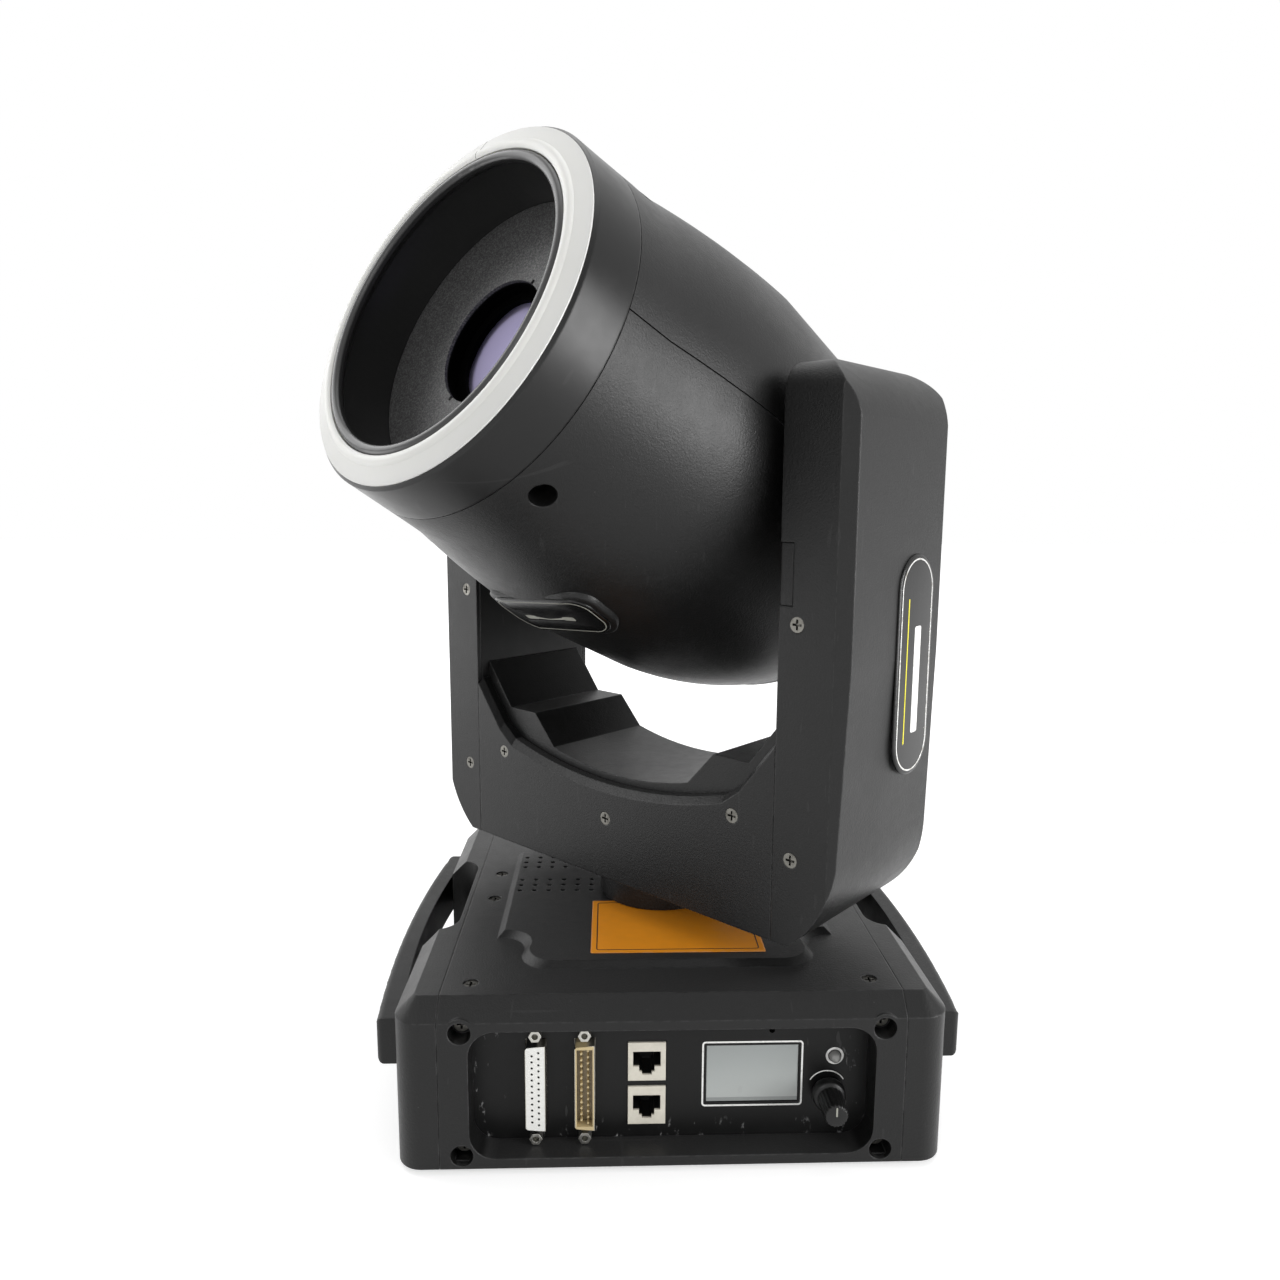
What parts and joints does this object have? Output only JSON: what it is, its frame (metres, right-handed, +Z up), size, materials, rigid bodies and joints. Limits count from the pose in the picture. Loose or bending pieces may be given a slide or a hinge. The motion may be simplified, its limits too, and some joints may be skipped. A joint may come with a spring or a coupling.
{
  "type": "moving head laser show projector",
  "caption": "Moving-head laser show projector: a base with a recessed control panel and side grips, a panning yoke and a tilting barrel head with a hooded exit window and a light ring.",
  "frame": {"origin": "middle of the clamp hole pattern on the underside of the bottom plate, on the pan axis", "axes": "+Z up along the pan axis, -Y towards the control panel's side, +X to the right as the panel is read"},
  "size_m": [0.2813, 0.2798, 0.4231],
  "materials": {
    "case_plastic": "satin black ABS with a fine texture",
    "bezel_plastic": "smooth satin black",
    "grip_plastic": "satin black",
    "panel_film": "black film with white printed lines",
    "frame_steel": "black powder coat",
    "plated_steel": "nickel plate",
    "foot_rubber": "black rubber",
    "belt_rubber": "black toothed belt",
    "light_tube": "milky silicone",
    "window_glass": "coated glass with a lavender sheen",
    "baffle_plastic": "dark grey fine texture",
    "lcd_glass": "grey unlit display",
    "led_lens": "clear lens, unlit",
    "db_female": "white insert in a nickel shell",
    "db_male": "tin plated shell with pins",
    "jack_plastic": "beige moulding",
    "knob_plastic": "black with a pointer line",
    "inlet_plastic": "black moulding",
    "rocker_plastic": "black rocker",
    "machined_alloy": "machined",
    "bearing_steel": "ground steel",
    "motor_steel": "black laminations and end caps",
    "supply_steel": "galvanised case",
    "board": "green circuit board",
    "fan_plastic": "black fan moulding"
  },
  "bodies": {
    "base": {"base_shell": "case_plastic", "left_side_cover": "case_plastic", "right_side_cover": "case_plastic", "left_handle": "grip_plastic", "right_handle": "grip_plastic", "control_panel": "panel_film", "rear_panel": "panel_film", "bottom_plate": "frame_steel", "base_screws": "plated_steel", "rubber_feet": "foot_rubber", "pan_belt": "belt_rubber", "lcd_module": "lcd_glass", "status_led": "led_lens", "db25_female": "db_female", "db25_male": "db_male", "rj45_jacks": "jack_plastic", "mains_inlet": "inlet_plastic", "dmx_sockets": "inlet_plastic", "pan_bearing_housing": "machined_alloy", "encoder_body": "machined_alloy", "pan_bearings": "bearing_steel", "pan_motor": "motor_steel", "power_supply": "supply_steel", "main_board": "board"},
    "yoke": {"pan_shaft": "bearing_steel", "pan_pulley": "machined_alloy", "turret_collar": "case_plastic", "yoke_frame": "frame_steel", "left_arm_cover": "case_plastic", "right_arm_cover": "case_plastic", "bridge_front_plate": "case_plastic", "bridge_rear_plate": "case_plastic", "bridge_liner": "case_plastic", "yoke_screws": "plated_steel", "tilt_bearings": "bearing_steel", "tilt_motor": "motor_steel", "tilt_belt": "belt_rubber"},
    "head": {"head_chassis": "frame_steel", "trunnions": "bearing_steel", "tilt_pulley": "machined_alloy", "upper_shell": "case_plastic", "lower_shell": "case_plastic", "head_bezel": "bezel_plastic", "led_ring": "light_tube", "front_baffle": "baffle_plastic", "exit_window": "window_glass", "rear_cap": "case_plastic", "head_screws": "plated_steel", "laser_modules": "machined_alloy", "galvo_block": "machined_alloy", "head_fan_frame": "fan_plastic"},
    "encoder_push": {"encoder_shaft": "bearing_steel"},
    "func_knob": {"func_knob": "knob_plastic"},
    "power_rocker": {"power_rocker": "rocker_plastic"},
    "pan_drive": {"pan_drive_pulley": "machined_alloy"},
    "tilt_lock": {"tilt_lock": "grip_plastic"},
    "tilt_drive": {"tilt_drive_pulley": "machined_alloy"},
    "head_fan_rotor": {"head_fan_rotor": "fan_plastic"},
    "x_galvo": {"x_galvo": "machined_alloy"},
    "y_galvo": {"y_galvo": "machined_alloy"}
  },
  "joints": [
    {"name": "pan", "type": "hinge", "parent": "base", "child": "yoke", "pos_m": [0, 0, 0.0933], "axis": [0, 0, 1], "range_deg": [-225.8, 314.2]},
    {"name": "tilt", "type": "hinge", "parent": "yoke", "child": "head", "pos_m": [0, 0, 0.2915], "axis": [-0.7174, 0.6967, 0], "range_deg": [-59, 190]},
    {"name": "pan_drive_spin", "type": "hinge", "parent": "base", "child": "pan_drive", "pos_m": [0.058, 0, 0.0355], "axis": [0, 0, 1], "range_deg": [-904, 1258]},
    {"name": "tilt_drive_spin", "type": "hinge", "parent": "yoke", "child": "tilt_drive", "pos_m": [0.08358, -0.08116, 0.1273], "axis": [-0.7174, 0.6967, 0], "range_deg": [-174, 558]},
    {"name": "tilt_lock_slide", "type": "slide", "parent": "yoke", "child": "tilt_lock", "axis": [-0.7174, 0.6967, 0], "range_m": [0, 0.0035]},
    {"name": "encoder_press", "type": "slide", "parent": "base", "child": "encoder_push", "axis": [0, 1, 0], "range_m": [0, 0.0006], "stiffness_N_per_m": 2000},
    {"name": "func_knob_turn", "type": "hinge", "parent": "encoder_push", "child": "func_knob", "pos_m": [0.0674, -0.108, 0.0254], "axis": [0, -1, 0], "continuous": true},
    {"name": "power_rocker_tip", "type": "hinge", "parent": "base", "child": "power_rocker", "pos_m": [-0.055, 0.096, 0.045], "axis": [1, 0, 0], "range_deg": [-18, 0]},
    {"name": "head_fan_spin", "type": "hinge", "parent": "head", "child": "head_fan_rotor", "pos_m": [0.06535, 0.0673, 0.24897], "axis": [-0.6345, -0.6534, 0.4129], "continuous": true},
    {"name": "x_galvo_swing", "type": "hinge", "parent": "head", "child": "x_galvo", "pos_m": [-0.03426, -0.03528, 0.3138], "axis": [0.2877, 0.2962, 0.9108], "range_deg": [-12.5, 12.5]},
    {"name": "y_galvo_swing", "type": "hinge", "parent": "head", "child": "y_galvo", "pos_m": [-0.04257, -0.04384, 0.3214], "axis": [0.7174, -0.6967, 0], "range_deg": [-12.5, 12.5]}
  ],
  "couplings": [
    {"joint": "pan_drive_spin", "follows": "pan", "ratio": 4},
    {"joint": "tilt_drive_spin", "follows": "tilt", "ratio": 2.9333}
  ]
}
